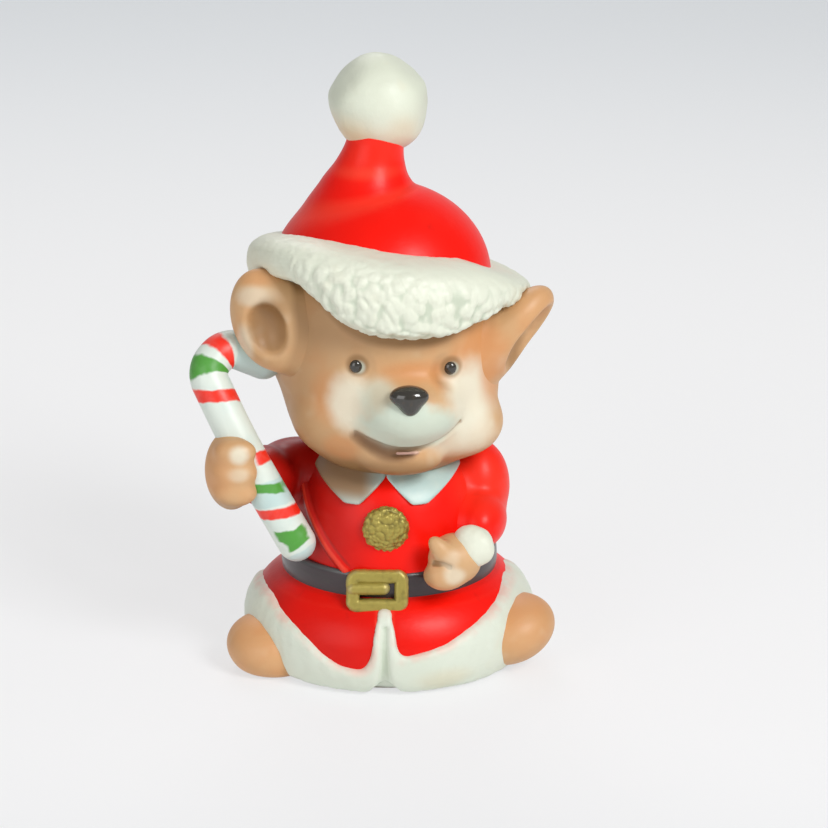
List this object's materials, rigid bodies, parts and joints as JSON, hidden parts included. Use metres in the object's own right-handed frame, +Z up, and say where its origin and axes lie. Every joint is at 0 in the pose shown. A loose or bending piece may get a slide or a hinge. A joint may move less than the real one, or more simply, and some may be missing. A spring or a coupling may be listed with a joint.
{
  "type": "animal figurine",
  "caption": "Porcelain mouse figurine in a fur-trimmed red coat and hat, holding a striped candy cane, cast in luted sections on a flat base.",
  "frame": {"origin": "middle of the flat underside of the coat, on the surface that the figurine stands on", "axes": "+Z up, the longest extent; the figurine faces -Y, the shortest extent; its own left hand is on +X"},
  "size_m": [0.0638, 0.05, 0.1072],
  "materials": {
    "coat_red": "satin underglaze red",
    "trim_white": "matt white fur relief",
    "fur_tan": "matt airbrushed tan",
    "collar_blue": "matt pale blue-white",
    "belt_brown": "satin dark brown",
    "antique_gold": "antique gold wash",
    "gloss_black": "gloss black",
    "cane_stripes": "matt white with painted stripes",
    "bare_bisque": "unpainted bisque"
  },
  "bodies": {
    "root": {"base_slab": "bare_bisque", "belt": "belt_brown", "buckle_frame": "antique_gold", "buckle_prong": "antique_gold", "candy_cane": "cane_stripes", "chest_button": "antique_gold", "coat_bodice": "coat_red", "coat_skirt": "coat_red", "collar_left": "collar_blue", "collar_right": "collar_blue", "cuff_left": "trim_white", "cuff_right": "trim_white", "ear_left": "fur_tan", "ear_right": "fur_tan", "eye_left": "gloss_black", "eye_right": "gloss_black", "foot_left": "fur_tan", "foot_right": "fur_tan", "hat_band": "trim_white", "hat_crown": "coat_red", "hat_pompom": "trim_white", "head_shell": "fur_tan", "hem_fur": "trim_white", "nose": "gloss_black", "paw_left": "fur_tan", "paw_right": "fur_tan", "sleeve_left": "coat_red", "sleeve_right": "coat_red"}
  },
  "joints": []
}
